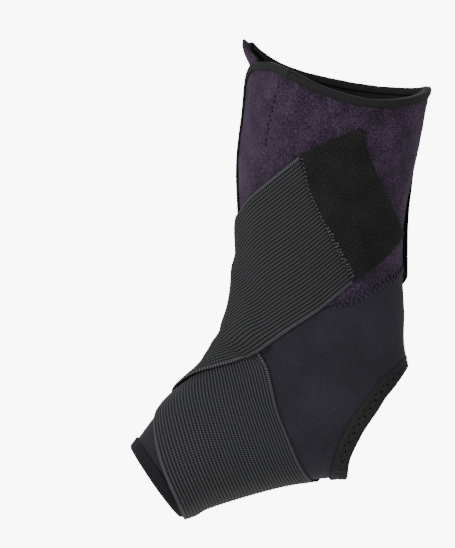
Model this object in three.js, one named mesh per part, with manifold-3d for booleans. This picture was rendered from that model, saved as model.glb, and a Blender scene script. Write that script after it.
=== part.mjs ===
// Ankle brace for a right foot: a neoprene foot sleeve with an open heel, a loop-faced cuff that wraps
// the shin, and two elastic straps that cross over the instep and close on the cuff with hook tabs.
// Millimetres. Origin at the ankle joint, +Z up the leg, toes towards -X, inner side of the foot at -Y.
import * as THREE from 'three';
import { mergeVertices } from 'three/addons/utils/BufferGeometryUtils.js';
import Module from 'manifold-3d';

// Size of the worn form
const legRise = 177; // ankle joint up to the first section
const footReach = 94; // ankle joint forward to the middle of the toe opening
const footDrop = 78; // ankle joint down to the middle of the toe opening
const legDepth = 109; // front to back at the first section
const legWidth = 102; // side to side there
const squareness = 2.2; // 2 is an ellipse, more is fuller at its corners

// Materials
const neopreneWall = 2.5; // sleeve and cuff
const elasticWall = 1.2;
const tabBackingWall = 1.1;
const hookWall = 1.2;
const tapeWall = 0.7; // binding tape
const layerGap = 0.4; // clearance between pieces that lie on each other
const strapGap = 0.5; // under the straps
const crossGap = 1.2; // where one strap crosses the other
const heelTapeGap = 0.55; // round the tight curve of the heel
const buttGap = 0.3; // clearance between edges that meet

// Widths
const strapWidth = 77;
const cuffTapeLeg = 3.6; // how far each binding reaches in from the edge it folds over
const heelTapeLeg = 8.6;
const toeTapeLeg = 6;
const tabLap = 3; // tab backing over the end of its strap
const crossStart = 0.25; // share of the under strap's length past which the other may cross it
const liftRamp = 9; // length over which a strap climbs onto what it crosses

// Places on the form, along: 0 at the first section, 1 at the toe opening.
// Around is in degrees: 0 front, 90 inner side, 180 back and sole, 270 or -90 outer side.
const heelHoleTop = 0.452;
const heelHoleBottom = 0.758;
const heelHoleSpread = 64.5; // half the opening's reach around
const panelFoldStart = 325; // where the outer panel starts to dip below the flap
const panelEndTop = 12; // the panel's own end, past the front, at its rim and lower down
const panelEndBelow = 36;
const panelEndSlope = 0.25; // share of the cuff's height over which one turns into the other
const lipFlare = 2.6; // and out from the form, millimetres
const lipTop = 0.014; // the panel stands free down to here and is under the flap from its edge on
const lipClear = 0.018; // how far above the flap's edge it is down already
const flapTapeEnd = 60; // where the flap's binding hands over to the rim's
const rimTapeEnd = 342;

// Sections of the form from leg to toes. forward is a share of footReach, up of legRise above the
// joint and of footDrop below it, tilt is in degrees, depth and width are shares of legDepth and
// legWidth, egg narrows the front and ridge leans it to the inner side.
const sections = [
  { forward: -0.137, up: 1.0, tilt: 3.0, depth: 1.0, width: 1.0, egg: 0.04, ridge: 0 },
  { forward: -0.094, up: 0.783, tilt: 1.2, depth: 0.958, width: 0.96, egg: 0.02, ridge: 0 },
  { forward: -0.04, up: 0.593, tilt: 0.6, depth: 0.933, width: 0.9, egg: 0, ridge: 0 },
  { forward: -0.01, up: 0.419, tilt: 0, depth: 0.868, width: 0.82, egg: -0.04, ridge: 0 },
  { forward: -0.009, up: 0.253, tilt: 1.0, depth: 0.847, width: 0.77, egg: -0.08, ridge: 0 },
  { forward: -0.005, up: 0.121, tilt: 3.0, depth: 0.876, width: 0.75, egg: -0.1, ridge: 0 },
  { forward: 0.019, up: 0.018, tilt: 6.9, depth: 0.93, width: 0.77, egg: -0.1, ridge: 0 },
  { forward: 0, up: -0.167, tilt: 17.6, depth: 1.055, width: 0.71, egg: -0.06, ridge: 0 },
  { forward: -0.02, up: -0.311, tilt: 23.1, depth: 1.18, width: 0.67, egg: 0, ridge: 0 },
  { forward: 0.057, up: -0.449, tilt: 31.4, depth: 1.156, width: 0.67, egg: 0.04, ridge: 0.01 },
  { forward: 0.185, up: -0.528, tilt: 37.3, depth: 1.032, width: 0.69, egg: 0.08, ridge: 0.02 },
  { forward: 0.323, up: -0.571, tilt: 41.0, depth: 0.876, width: 0.71, egg: 0.1, ridge: 0.03 },
  { forward: 0.514, up: -0.65, tilt: 44.9, depth: 0.736, width: 0.74, egg: 0.12, ridge: 0.04 },
  { forward: 0.731, up: -0.771, tilt: 52.6, depth: 0.612, width: 0.77, egg: 0.14, ridge: 0.05 },
  { forward: 1.0, up: -1.0, tilt: 54.5, depth: 0.437, width: 0.79, egg: 0.14, ridge: 0.05 },
];

// Upper rim of the cuff: it starts at the flap's front edge, goes round the inner side, the back and
// the outer side, and ends on the panel that lies under the flap.
const rim = [
  { around: 5.5, along: 0.065 }, { around: 7, along: 0.056 }, { around: 9.5, along: 0.049 },
  { around: 13, along: 0.043 }, { around: 17, along: 0.039 }, { around: 24, along: 0.0355 },
  { around: 33, along: 0.035 }, { around: 44, along: 0.035 }, { around: 52, along: 0.038 },
  { around: 60, along: 0.0425 }, { around: 68, along: 0.0475 }, { around: 76, along: 0.054 },
  { around: 86, along: 0.061 }, { around: 95, along: 0.067 }, { around: 107, along: 0.071 },
  { around: 115, along: 0.0715 }, { around: 123, along: 0.071 }, { around: 131, along: 0.07 },
  { around: 139, along: 0.0685 }, { around: 147, along: 0.066 }, { around: 155, along: 0.063 },
  { around: 163, along: 0.0595 }, { around: 171, along: 0.0555 }, { around: 180, along: 0.054 },
  { around: 189, along: 0.054 }, { around: 198, along: 0.0545 }, { around: 207, along: 0.055 },
  { around: 216, along: 0.055 }, { around: 225, along: 0.055 }, { around: 234, along: 0.0545 },
  { around: 243, along: 0.054 }, { around: 252, along: 0.052 }, { around: 261, along: 0.05 },
  { around: 270, along: 0.047 }, { around: 279, along: 0.044 }, { around: 288, along: 0.041 },
  { around: 297, along: 0.037 }, { around: 306, along: 0.033 }, { around: 315, along: 0.0285 },
  { around: 324, along: 0.024 }, { around: 333, along: 0.0195 }, { around: 342, along: 0.0135 },
  { around: 352, along: 0.0105 }, { around: 360, along: 0.0095 }, { around: 369, along: 0.0115 },
  { around: 378, along: 0.0165 }, { around: 387, along: 0.025 }, { around: 396, along: 0.04 },
];

// Seam between the cuff and the sleeve
const seam = [
  { around: 5.5, along: 0.4 }, { around: 60, along: 0.378 }, { around: 103, along: 0.345 },
  { around: 113, along: 0.333 }, { around: 135, along: 0.309 }, { around: 173, along: 0.286 },
  { around: 187, along: 0.286 }, { around: 225, along: 0.309 }, { around: 247, along: 0.333 },
  { around: 300, along: 0.378 }, { around: 356, along: 0.4 }, { around: 396, along: 0.4 },
];

// Lines across each strap, from its rear or upper edge to its fore or lower edge. The strap is
// strapWidth wide about the middle of each line. bow swings the middle of a tab's line, in degrees.
const overStrapLines = [
  { upAlong: 0.812, upAround: -180, lowAlong: 0.985, lowAround: -180 },
  { upAlong: 0.79, upAround: -130, lowAlong: 0.975, lowAround: -115 },
  { upAlong: 0.72, upAround: -97, lowAlong: 0.957, lowAround: -80 },
  { upAlong: 0.622, upAround: -79, lowAlong: 0.907, lowAround: -45 },
  { upAlong: 0.492, upAround: -65, lowAlong: 0.866, lowAround: -17 },
  { upAlong: 0.387, upAround: -52, lowAlong: 0.81, lowAround: 5 },
  { upAlong: 0.311, upAround: -35, lowAlong: 0.733, lowAround: 31 },
  { upAlong: 0.25, upAround: -15, lowAlong: 0.59, lowAround: 45 },
  { upAlong: 0.214, upAround: 0, lowAlong: 0.47, lowAround: 65 },
  { upAlong: 0.188, upAround: 24, lowAlong: 0.405, lowAround: 81 },
  { upAlong: 0.171, upAround: 46, lowAlong: 0.366, lowAround: 91 },
  { upAlong: 0.152, upAround: 62, lowAlong: 0.332, lowAround: 99.5 },
  { upAlong: 0.139, upAround: 74, lowAlong: 0.3, lowAround: 112 },
];
const overTabLines = [
  { upAlong: 0.139, upAround: 74, lowAlong: 0.3, lowAround: 112, bow: 0 },
  { upAlong: 0.13, upAround: 84, lowAlong: 0.279, lowAround: 130, bow: 3 },
  { upAlong: 0.105, upAround: 106, lowAlong: 0.2425, lowAround: 163.5, bow: 7 },
];
const underStrapLines = [
  { upAlong: 0.812, upAround: 180, lowAlong: 0.998, lowAround: 180 },
  { upAlong: 0.81, upAround: 158, lowAlong: 0.997, lowAround: 140 },
  { upAlong: 0.8, upAround: 128, lowAlong: 0.992, lowAround: 92 },
  { upAlong: 0.775, upAround: 107, lowAlong: 0.979, lowAround: 56 },
  { upAlong: 0.704, upAround: 80, lowAlong: 0.957, lowAround: 8 },
  { upAlong: 0.614, upAround: 60, lowAlong: 0.925, lowAround: -22 },
  { upAlong: 0.48, upAround: 45, lowAlong: 0.88, lowAround: -38 },
  { upAlong: 0.389, upAround: 24, lowAlong: 0.8, lowAround: -50 },
  { upAlong: 0.325, upAround: -2, lowAlong: 0.69, lowAround: -60 },
  { upAlong: 0.262, upAround: -24, lowAlong: 0.54, lowAround: -72 },
  { upAlong: 0.214, upAround: -45, lowAlong: 0.44, lowAround: -88 },
  { upAlong: 0.178, upAround: -73, lowAlong: 0.38, lowAround: -110 },
  { upAlong: 0.145, upAround: -108, lowAlong: 0.335, lowAround: -138 },
];
const underTabLines = [
  { upAlong: 0.145, upAround: -108, lowAlong: 0.335, lowAround: -138, bow: 0 },
  { upAlong: 0.138, upAround: -118, lowAlong: 0.33, lowAround: -152, bow: 0 },
  { upAlong: 0.122, upAround: -157, lowAlong: 0.292, lowAround: -185, bow: 0 },
];
// Shares of strapWidth that each tab reaches above and below the middle of its lines, at the strap
// and at its own end
const overTabReach = { up: 0.515, down: 0.5, endUp: 0.495, endDown: 0.455 };
const underTabReach = { up: 0.55, down: 0.5, endUp: 0.55, endDown: 0.5 };

// Fineness of the meshes
const sleeveRows = 19;
const heelFineness = 0.4; // how much closer the sleeve's rows lie round the heel than at its ends
const cuffRows = 10;
const rimFineness = 1.4; // 1 spaces the cuff's rows evenly, more draws them to the rim
const holePoints = 42;
const holeFineness = 0.12; // how much closer its points lie at its top and foot
const holeRings = 4;
const strapSteps = 35;
const strapStrips = 8;
const tabSteps = 6;
const tabStrips = 6;
const coverSteps = 60;
const coverStrips = 14;
const coverSpread = 2 / 3; // how far each sample covers, in strips
const tapeSamples = 4; // between two points of an edge
const plugOut = 5; // millimetres the heel hole's plug stands out of the sleeve's faces
const lineSamples = 24;
const slopeStep = 0.001; // on the form, for its slopes
const fusePlace = 1000; // points closer than a thousandth of a millimetre are one

const radians = THREE.MathUtils.degToRad;
const clamp = THREE.MathUtils.clamp;
const smoothstep = THREE.MathUtils.smoothstep;

// Catmull-Rom curve through the rows of a table, straight past both ends
function tableCurve(rows, share) {
  const last = rows.length - 1;
  const x = share * last;
  const i = clamp(Math.floor(x), 0, last - 1);
  const f = x - i;
  const row = {};
  for (const key of Object.keys(rows[0])) {
    const b = rows[i][key];
    const c = rows[i + 1][key];
    const a = i > 0 ? rows[i - 1][key] : 2 * b - c;
    const d = i < last - 1 ? rows[i + 2][key] : 2 * c - b;
    row[key] = b + 0.5 * f * (c - a + f * (2 * a - 5 * b + 4 * c - d + f * (3 * (b - c) + d - a)));
  }
  return row;
}

// Straight lines between the rows of a table
function tableLine(rows, share) {
  const last = rows.length - 1;
  const i = clamp(Math.floor(share * last), 0, last - 1);
  const row = {};
  for (const key of Object.keys(rows[0])) {
    row[key] = THREE.MathUtils.lerp(rows[i][key], rows[i + 1][key], share * last - i);
  }
  return row;
}

// The value beside an angle in a table
function alongAt(rows, around) {
  let i = 0;
  while (i < rows.length - 2 && rows[i + 1].around < around) i += 1;
  const share = (around - rows[i].around) / (rows[i + 1].around - rows[i].around);
  return THREE.MathUtils.lerp(rows[i].along, rows[i + 1].along, share);
}

// The sections in millimetres
const formSections = sections.map((row) => ({
  x: -row.forward * footReach,
  z: row.up * (row.up > 0 ? legRise : footDrop),
  tilt: radians(row.tilt),
  halfDepth: row.depth * legDepth / 2,
  halfWidth: row.width * legWidth / 2,
  egg: row.egg,
  lean: row.ridge * legWidth / 2,
}));

// A point of the outer face of the sleeve and cuff
function formPoint(along, around) {
  const section = tableCurve(formSections, along);
  const angle = radians(around);
  const towardFront = Math.sign(Math.cos(angle)) * Math.abs(Math.cos(angle)) ** (2 / squareness);
  const towardInner = Math.sign(Math.sin(angle)) * Math.abs(Math.sin(angle)) ** (2 / squareness);
  const reach = section.halfDepth * towardFront;
  return new THREE.Vector3(
    section.x - Math.cos(section.tilt) * reach,
    -section.halfWidth * (1 - section.egg * towardFront) * towardInner - section.lean * (1 + towardFront),
    section.z + Math.sin(section.tilt) * reach,
  );
}

function slopes(along, around) {
  const turn = THREE.MathUtils.radToDeg(slopeStep);
  const down = formPoint(along + slopeStep, around).sub(formPoint(along - slopeStep, around));
  const side = formPoint(along, around + turn).sub(formPoint(along, around - turn));
  return { down: down.divideScalar(2 * slopeStep), side: side.divideScalar(2 * turn) };
}

// A point that stands height above the outer face
function place(along, around, height) {
  const { down, side } = slopes(along, around);
  const normal = down.cross(side).normalize();
  return formPoint(along, around).addScaledVector(normal, height);
}

// Moves a place on the form by a vector that lies on it
function shifted({ along, around }, vector) {
  const { down, side } = slopes(along, around);
  const dd = down.dot(down);
  const ds = down.dot(side);
  const ss = side.dot(side);
  const spread = dd * ss - ds * ds;
  const vd = vector.dot(down);
  const vs = vector.dot(side);
  return { along: along + (vd * ss - vs * ds) / spread, around: around + (vs * dd - vd * ds) / spread };
}

// Moves a place by millimetres straight down its line on the form, or round it
function movedDown(spot, by) {
  return { along: spot.along + by / slopes(spot.along, spot.around).down.length(), around: spot.around };
}
function movedRound(spot, by) {
  return { along: spot.along, around: spot.around + by / slopes(spot.along, spot.around).side.length() };
}

// A closed body from the outer and inner face of a grid of places, walled wherever the grid ends
function sheet(rows) {
  const points = [];
  const keys = new Map();
  const grid = rows.map((row) => row.map((spot) => {
    const outer = place(spot.along, spot.around, spot.outer);
    const key = outer.toArray().map((v) => Math.round(v * fusePlace)).join();
    if (!keys.has(key)) {
      keys.set(key, points.length);
      points.push(outer, place(spot.along, spot.around, spot.inner));
    }
    return keys.get(key);
  }));
  const faces = [];
  const edges = new Set();
  const addFace = (a, b, c) => {
    if (a === b || b === c || c === a) return;
    faces.push([a, b, c], [c + 1, b + 1, a + 1]);
    for (const [p, q] of [[a, b], [b, c], [c, a]]) edges.add(`${p},${q}`);
  };
  for (let i = 0; i + 1 < grid.length; i += 1) {
    for (let j = 0; j + 1 < grid[i].length; j += 1) {
      addFace(grid[i][j], grid[i][j + 1], grid[i + 1][j]);
      addFace(grid[i][j + 1], grid[i + 1][j + 1], grid[i + 1][j]);
    }
  }
  for (const edge of edges) {
    const [p, q] = edge.split(',').map(Number);
    if (!edges.has(`${q},${p}`)) faces.push([q, p, p + 1], [q, p + 1, q + 1]);
  }
  return bodyOf(points, faces);
}

// A geometry whose faces point out
function bodyOf(points, faces) {
  let volume = 0;
  for (const [a, b, c] of faces) {
    volume += points[a].dot(points[b].clone().cross(points[c]));
  }
  const index = faces.flatMap(([a, b, c]) => (volume > 0 ? [a, b, c] : [a, c, b]));
  const geometry = new THREE.BufferGeometry();
  geometry.setAttribute('position', new THREE.Float32BufferAttribute(points.flatMap((p) => p.toArray()), 3));
  geometry.setIndex(index);
  return geometry;
}

// A binding tape folded over an edge, whose places have the direction into the fabric. fabricAt gives
// the height of the fabric's outer face.
function channel(edge, leg, gap, closed, fabricAt) {
  const lap = gap + tapeWall;
  const under = -neopreneWall - gap;
  const profile = [
    [leg, gap], [leg, lap], [-gap / 2, lap], [-lap, 0], [-lap, -neopreneWall],
    [-gap / 2, under - tapeWall], [leg, under - tapeWall], [leg, under], [-gap, under], [-gap, gap],
  ];
  const points = [];
  for (const spot of edge) {
    for (const [inBy, height] of profile) {
      const at = shifted(spot, spot.inward.clone().multiplyScalar(inBy));
      points.push(place(at.along, at.around, height + fabricAt(at.along, at.around)));
    }
  }
  const sides = profile.length;
  const count = edge.length;
  const faces = [];
  for (let i = 0; i < (closed ? count : count - 1); i += 1) {
    const a = i * sides;
    const b = ((i + 1) % count) * sides;
    for (let k = 0; k < sides; k += 1) {
      const next = (k + 1) % sides;
      faces.push([a + k, a + next, b + k], [a + next, b + next, b + k]);
    }
  }
  if (!closed) {
    const flat = profile.map(([x, y]) => new THREE.Vector2(x, y));
    const end = (count - 1) * sides;
    for (const [a, b, c] of THREE.ShapeUtils.triangulateShape(flat, [])) {
      faces.push([b, a, c], [end + a, end + b, end + c]);
    }
  }
  return bodyOf(points, faces);
}

// Height of the cuff's outer face: none on the flap, and below the flap where the panel lies
// under it, except at its lip
const flapStack = neopreneWall + 2 * layerGap + tapeWall;
const bareSleeve = () => 0;
function panelDepth(along, around) {
  const fold = smoothstep(around, panelFoldStart, 360);
  const lipFoot = alongAt(rim, Math.max(around - 360, rim[0].around)) - lipClear;
  return fold * THREE.MathUtils.lerp(lipFlare, -flapStack, smoothstep(along, lipTop, lipFoot));
}

// Columns all the way round, in line with the cuff's
const ringColumns = rim.map((spot) => spot.around).filter((around) => around <= 360);

// The sleeve's heel hole, an oval on the form
const holeMiddle = (heelHoleTop + heelHoleBottom) / 2;
const holeHalf = (heelHoleBottom - heelHoleTop) / 2;
function holePlace(share, size) {
  const turn = 2 * Math.PI * share - holeFineness * Math.sin(4 * Math.PI * share);
  return {
    along: holeMiddle - size * holeHalf * Math.cos(turn),
    around: 180 + size * heelHoleSpread * Math.sin(turn),
  };
}

// The sleeve's cut edge at the toes, inside the fold of its binding
const cutToe = (around) => movedDown({ along: 1, around }, -tapeWall - layerGap);

function sleeveGeometry(wasm) {
  const rows = [];
  for (let i = 0; i <= sleeveRows; i += 1) {
    const row = [];
    const share = i / sleeveRows + heelFineness * Math.sin(2 * Math.PI * i / sleeveRows) / (2 * Math.PI);
    for (const around of [...ringColumns, ringColumns[0] + 360]) {
      const top = movedDown({ along: alongAt(seam, around), around }, buttGap / 2).along;
      const toe = cutToe(around).along;
      const along = THREE.MathUtils.lerp(top, toe, share);
      row.push({ along, around, outer: 0, inner: -neopreneWall });
    }
    rows.push(row);
  }
  const plug = [];
  for (let i = 0; i <= holeRings; i += 1) {
    const ring = [];
    for (let j = 0; j <= holePoints; j += 1) {
      const spot = holePlace(j / holePoints, i / holeRings);
      ring.push({ ...spot, outer: plugOut, inner: -neopreneWall - plugOut });
    }
    plug.push(ring);
  }
  const tube = solidOf(wasm, sheet(rows));
  return geometryOf(tube.subtract(solidOf(wasm, sheet(plug))));
}

function solidOf(wasm, geometry) {
  const welded = mergeVertices(geometry);
  return new wasm.Manifold(new wasm.Mesh({
    numProp: 3,
    vertProperties: new Float32Array(welded.attributes.position.array),
    triVerts: new Uint32Array(welded.index.array),
  }));
}

function geometryOf(solid) {
  const mesh = solid.getMesh();
  const geometry = new THREE.BufferGeometry();
  geometry.setAttribute('position', new THREE.BufferAttribute(new Float32Array(mesh.vertProperties), 3));
  geometry.setIndex(new THREE.BufferAttribute(new Uint32Array(mesh.triVerts), 1));
  return geometry;
}

// Places of the cuff's grid: share 0 at its rim and 1 at its seam
function cuffPlace(column, share) {
  const past = column - 360;
  const end = THREE.MathUtils.lerp(panelEndTop, panelEndBelow, smoothstep(share, 0, panelEndSlope));
  const around = past > 0 ? 360 + past * end / panelEndBelow : column;
  const bottom = movedDown({ along: alongAt(seam, around), around }, -buttGap / 2).along;
  return { along: THREE.MathUtils.lerp(alongAt(rim, column), bottom, share), around };
}

function cuffGeometry() {
  const rows = [];
  for (let i = 0; i <= cuffRows; i += 1) {
    rows.push(rim.map((column) => {
      const spot = cuffPlace(column.around, (i / cuffRows) ** rimFineness);
      const depth = panelDepth(spot.along, spot.around);
      return { ...spot, outer: depth, inner: depth - neopreneWall };
    }));
  }
  return sheet(rows);
}

// Adds to each place of an edge the direction into the fabric, square to the edge on the form
function facingIn(edge, closed) {
  const last = edge.length - 1;
  return edge.map((spot, i) => {
    const before = edge[i > 0 ? i - 1 : (closed ? last : 0)];
    const after = edge[i < last ? i + 1 : (closed ? 0 : last)];
    const run = formPoint(after.along, after.around).sub(formPoint(before.along, before.around));
    const { down, side } = slopes(spot.along, spot.around);
    return { ...spot, inward: run.cross(down.cross(side)).normalize() };
  });
}

function heelEdge() {
  const edge = [];
  for (let j = 0; j < holePoints; j += 1) edge.push(holePlace(-j / holePoints, 1));
  return facingIn(edge, true);
}

function toeEdge() {
  const edge = [];
  for (const around of ringColumns) {
    edge.push({ ...cutToe(around), inward: slopes(1, around).down.normalize().negate() });
  }
  return edge;
}

// The flap's front edge from the seam up, round its corner and along the rim
function flapEdge() {
  const edge = [];
  for (let i = cuffRows; i > 0; i -= 1) edge.push(cuffPlace(rim[0].around, (i / cuffRows) ** rimFineness));
  edge.push(...rim.filter((spot) => spot.around <= flapTapeEnd));
  return facingIn(edge, false);
}

function rimEdge() {
  const edge = rim.filter((spot) => spot.around >= flapTapeEnd && spot.around <= rimTapeEnd);
  edge[0] = movedRound(edge[0], buttGap);
  return facingIn(edge, false);
}

// A run of fabric laid on the form along a table of lines across it
class Run {
  constructor(lines, curve) {
    this.lines = lines;
    this.curve = curve;
    this.lengths = [0];
    for (let i = 1; i <= coverSteps; i += 1) {
      const before = this.middle((i - 1) / coverSteps);
      const step = this.middle(i / coverSteps).distanceTo(before);
      this.lengths.push(this.lengths[i - 1] + step);
    }
  }

  get length() {
    return this.lengths[coverSteps];
  }

  middle(share) {
    const line = this.curve(this.lines, share);
    return formPoint((line.upAlong + line.lowAlong) / 2, (line.upAround + line.lowAround) / 2);
  }

  // The share of the table at a length along the middle, straight on past both ends
  shareAt(length) {
    let i = 0;
    while (i < coverSteps - 1 && this.lengths[i + 1] < length) i += 1;
    return (i + (length - this.lengths[i]) / (this.lengths[i + 1] - this.lengths[i])) / coverSteps;
  }

  // Places across the run at a length along it, reaching up and down in millimetres
  across(length, reachUp, reachDown, strips) {
    const line = this.curve(this.lines, this.shareAt(length));
    const at = (t) => ({
      along: THREE.MathUtils.lerp(line.upAlong, line.lowAlong, t),
      around: THREE.MathUtils.lerp(line.upAround, line.lowAround, t) - 4 * (line.bow ?? 0) * t * (1 - t),
    });
    const half = lineSamples / 2;
    const walked = [0];
    for (let i = -half; i < lineSamples + half; i += 1) {
      const a = at(i / lineSamples);
      const b = at((i + 1) / lineSamples);
      const step = formPoint(a.along, a.around).distanceTo(formPoint(b.along, b.around));
      walked.push(walked[walked.length - 1] + step);
    }
    const middle = (walked[half] + walked[half + lineSamples]) / 2;
    const spots = [];
    for (let k = 0; k <= strips; k += 1) {
      const want = middle + THREE.MathUtils.lerp(-reachUp, reachDown, k / strips);
      let i = 0;
      while (i < walked.length - 2 && walked[i + 1] < want) i += 1;
      const t = i + (want - walked[i]) / (walked[i + 1] - walked[i]) - half;
      spots.push(at(t / lineSamples));
    }
    return spots;
  }

  patch(from, to, steps, reachUp, reachDown, strips) {
    const rows = [];
    for (let i = 0; i <= steps; i += 1) {
      rows.push(this.across(THREE.MathUtils.lerp(from, to, i / steps), reachUp, reachDown, strips));
    }
    return rows;
  }
}

// Samples of what a strap climbs over, each of which covers what lies within its reach
const coverReach = coverSpread * strapWidth / coverStrips;
function coverPoints(rows) {
  return rows.flat().map((spot) => formPoint(spot.along, spot.around));
}

// 1 over the samples, falling to 0 within the ramp beside them
function coveredBy(points, spot) {
  const here = formPoint(spot.along, spot.around);
  let nearest = Infinity;
  for (const point of points) nearest = Math.min(nearest, here.distanceToSquared(point));
  return 1 - smoothstep(Math.sqrt(nearest), coverReach, coverReach + liftRamp);
}

function tapePoints(edge, leg) {
  const middle = edge.map((spot) => {
    const at = shifted(spot, spot.inward.clone().multiplyScalar(leg / 2));
    return formPoint(at.along, at.around);
  });
  const points = [];
  for (let i = 1; i < middle.length; i += 1) {
    for (let j = 0; j < tapeSamples; j += 1) {
      points.push(middle[i - 1].clone().lerp(middle[i], j / tapeSamples));
    }
  }
  return points;
}

const overStrapRun = new Run(overStrapLines, tableCurve);
const underStrapRun = new Run(underStrapLines, tableCurve);
const overTabRun = new Run(overTabLines, tableLine);
const underTabRun = new Run(underTabLines, tableLine);
const halfStrap = strapWidth / 2;
const tapeLift = tapeWall + 2 * layerGap;
const strapLift = elasticWall + crossGap;
const tapes = [...tapePoints(toeEdge(), toeTapeLeg), ...tapePoints(flapEdge(), cuffTapeLeg)];
const underCover = coverPoints(underStrapRun.patch(
  crossStart * underStrapRun.length, underStrapRun.length, coverSteps, halfStrap, halfStrap, coverStrips,
));

const underHeight = (spot) => strapGap + tapeLift * coveredBy(tapes, spot);
const overHeight = (spot) => underHeight(spot) + strapLift * coveredBy(underCover, spot);

// How far the straight line between two places dips below the form
function dipBetween(a, b) {
  if (!b) return 0;
  const along = (a.along + b.along) / 2;
  const around = (a.around + b.around) / 2;
  const chord = formPoint(a.along, a.around).lerp(formPoint(b.along, b.around), 0.5);
  const { down, side } = slopes(along, around);
  return formPoint(along, around).sub(chord).dot(down.cross(side).normalize());
}

// A layer of fabric over the form, raised so that its flat facets clear the form's bulges
function layer(rows, height, wall) {
  return sheet(rows.map((row, i) => row.map((spot, j) => {
    const above = rows[i - 1] ?? [];
    const below = rows[i + 1] ?? [];
    const beside = [row[j - 1], row[j + 1], above[j], above[j + 1], below[j], below[j - 1]];
    const dip = Math.max(0, ...beside.map((other) => dipBetween(spot, other)));
    const inner = height(spot) + dip;
    return { ...spot, inner, outer: inner + wall };
  })));
}

function strapGeometry(run, height) {
  const rows = run.patch(buttGap / 2, run.length, strapSteps, halfStrap, halfStrap, strapStrips);
  return layer(rows, height, elasticWall);
}

function tabRows(run, from, reach) {
  const rows = [];
  for (let i = 0; i <= tabSteps; i += 1) {
    const at = THREE.MathUtils.lerp(from, run.length, i / tabSteps);
    const up = strapWidth * THREE.MathUtils.lerp(reach.up, reach.endUp, at / run.length);
    const down = strapWidth * THREE.MathUtils.lerp(reach.down, reach.endDown, at / run.length);
    rows.push(run.across(at, up, down, tabStrips));
  }
  return rows;
}

const hookGeometry = (run, reach) => layer(tabRows(run, buttGap, reach), () => layerGap, hookWall);
const backingHeight = layerGap + Math.max(hookWall, elasticWall) + layerGap;
const backingGeometry = (run, reach) => layer(tabRows(run, -tabLap, reach), () => backingHeight, tabBackingWall);

function fabric(color, roughness) {
  return new THREE.MeshStandardMaterial({ color, roughness, metalness: 0 });
}

const brace = new THREE.Group();
brace.name = 'ankle_brace';
function add(name, geometry, material) {
  const mesh = new THREE.Mesh(geometry, material);
  mesh.name = name;
  brace.add(mesh);
}

const wasm = await Module();
wasm.setup();
add('sleeve', sleeveGeometry(wasm), fabric(0x2a2831, 0.8));
add('cuff', cuffGeometry(), fabric(0x3f3346, 0.95));
add('heel_binding', channel(heelEdge(), heelTapeLeg, heelTapeGap, true, bareSleeve), fabric(0x232325, 0.85));
add('toe_binding', channel(toeEdge(), toeTapeLeg, layerGap, true, bareSleeve), fabric(0x201d21, 0.85));
add('flap_binding', channel(flapEdge(), cuffTapeLeg, layerGap, false, panelDepth), fabric(0x303033, 0.85));
add('rim_binding', channel(rimEdge(), cuffTapeLeg, layerGap, false, panelDepth), fabric(0x2c2c2f, 0.85));
add('strap_under', strapGeometry(underStrapRun, underHeight), fabric(0x37373a, 0.8));
add('strap_over', strapGeometry(overStrapRun, overHeight), fabric(0x3a3b3c, 0.8));
add('inner_hook_pad', hookGeometry(overTabRun, overTabReach), fabric(0x1d1d1e, 0.9));
add('inner_tab', backingGeometry(overTabRun, overTabReach), fabric(0x222323, 0.9));
add('outer_hook_pad', hookGeometry(underTabRun, underTabReach), fabric(0x1d1d1e, 0.9));
add('outer_tab', backingGeometry(underTabRun, underTabReach), fabric(0x222323, 0.9));

export default brace;
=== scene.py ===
import math
import random
import bmesh
import bpy
import numpy as np
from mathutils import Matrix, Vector, noise


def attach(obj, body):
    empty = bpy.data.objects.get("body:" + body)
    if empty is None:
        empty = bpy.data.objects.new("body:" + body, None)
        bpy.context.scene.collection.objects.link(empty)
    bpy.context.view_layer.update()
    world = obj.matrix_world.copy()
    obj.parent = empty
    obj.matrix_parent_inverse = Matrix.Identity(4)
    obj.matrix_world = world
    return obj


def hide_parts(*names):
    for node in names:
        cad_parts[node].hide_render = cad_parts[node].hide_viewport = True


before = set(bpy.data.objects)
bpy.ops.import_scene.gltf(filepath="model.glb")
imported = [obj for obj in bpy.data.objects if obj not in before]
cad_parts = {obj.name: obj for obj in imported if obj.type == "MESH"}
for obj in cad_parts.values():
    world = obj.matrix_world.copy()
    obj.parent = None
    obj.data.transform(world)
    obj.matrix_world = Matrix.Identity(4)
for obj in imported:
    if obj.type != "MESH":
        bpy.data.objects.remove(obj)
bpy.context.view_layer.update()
mm = 0.001
weld = 0.000005
print("frame loaded")

# The worn form, in millimetres: the same tables as the CAD solids
form = {
    "legRise": 177, "footReach": 94, "footDrop": 78, "legDepth": 109, "legWidth": 102, "squareness": 2.2,
    # forward, up, tilt, depth, width, egg, ridge
    "sections": [
        (-0.137, 1.0, 3.0, 1.0, 1.0, 0.04, 0), (-0.094, 0.783, 1.2, 0.958, 0.96, 0.02, 0),
        (-0.04, 0.593, 0.6, 0.933, 0.9, 0, 0), (-0.01, 0.419, 0, 0.868, 0.82, -0.04, 0),
        (-0.009, 0.253, 1.0, 0.847, 0.77, -0.08, 0), (-0.005, 0.121, 3.0, 0.876, 0.75, -0.1, 0),
        (0.019, 0.018, 6.9, 0.93, 0.77, -0.1, 0), (0, -0.167, 17.6, 1.055, 0.71, -0.06, 0),
        (-0.02, -0.311, 23.1, 1.18, 0.67, 0, 0), (0.057, -0.449, 31.4, 1.156, 0.67, 0.04, 0.01),
        (0.185, -0.528, 37.3, 1.032, 0.69, 0.08, 0.02), (0.323, -0.571, 41.0, 0.876, 0.71, 0.1, 0.03),
        (0.514, -0.65, 44.9, 0.736, 0.74, 0.12, 0.04), (0.731, -0.771, 52.6, 0.612, 0.77, 0.14, 0.05),
        (1.0, -1.0, 54.5, 0.437, 0.79, 0.14, 0.05),
    ],
}
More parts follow.
